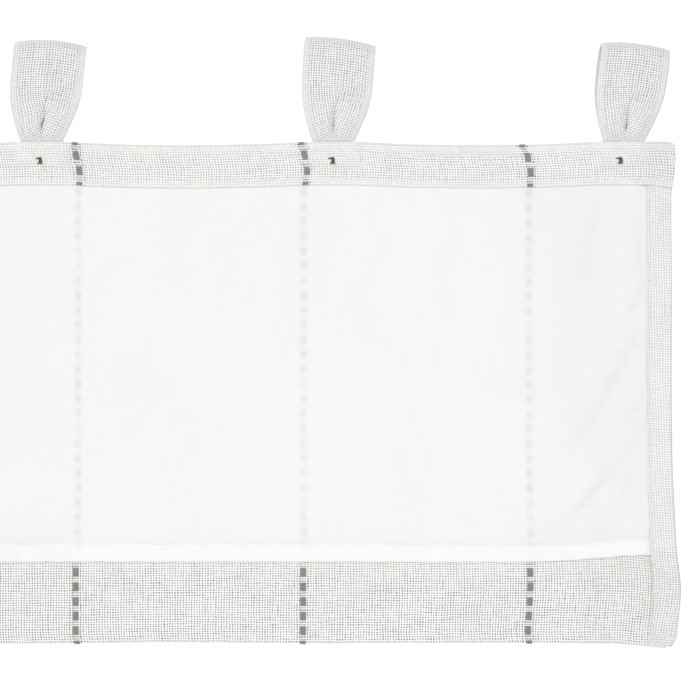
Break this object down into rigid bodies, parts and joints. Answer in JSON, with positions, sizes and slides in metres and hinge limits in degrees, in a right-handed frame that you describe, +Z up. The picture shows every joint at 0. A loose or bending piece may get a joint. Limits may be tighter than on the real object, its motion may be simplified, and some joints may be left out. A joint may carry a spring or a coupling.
{
  "type": "lined tab-top window valance",
  "caption": "Short tab-top window valance in coarse open-weave cotton with woven dash stripes and a plain white lining, seen from the lined side. Its tabs slide on a rod.",
  "frame": {"origin": "on the axis of the rod that the tabs hang from, in the middle of the width; no rod is built", "axes": "+X along the width, to the right as seen from the lined back; +Y towards the room side; +Z up"},
  "size_m": [1.836, 0.02, 0.4103],
  "materials": {
    "face_cloth": "coarse open plain weave cotton, off-white, with dark grey dash stripes woven in",
    "lining_cloth": "fine plain weave cotton, white",
    "heading_cloth": "coarse open plain weave cotton, off-white, with dark grey dash stripes woven in",
    "tab_cloth": "coarse open plain weave cotton, doubled, off-white"
  },
  "bodies": {
    "root": {"face_panel": "face_cloth", "lining": "lining_cloth", "heading": "heading_cloth", "tab_01": "tab_cloth", "tab_02": "tab_cloth", "tab_03": "tab_cloth", "tab_04": "tab_cloth", "tab_05": "tab_cloth", "tab_06": "tab_cloth", "tab_07": "tab_cloth", "tab_08": "tab_cloth", "tab_09": "tab_cloth", "tab_10": "tab_cloth"}
  },
  "joints": []
}
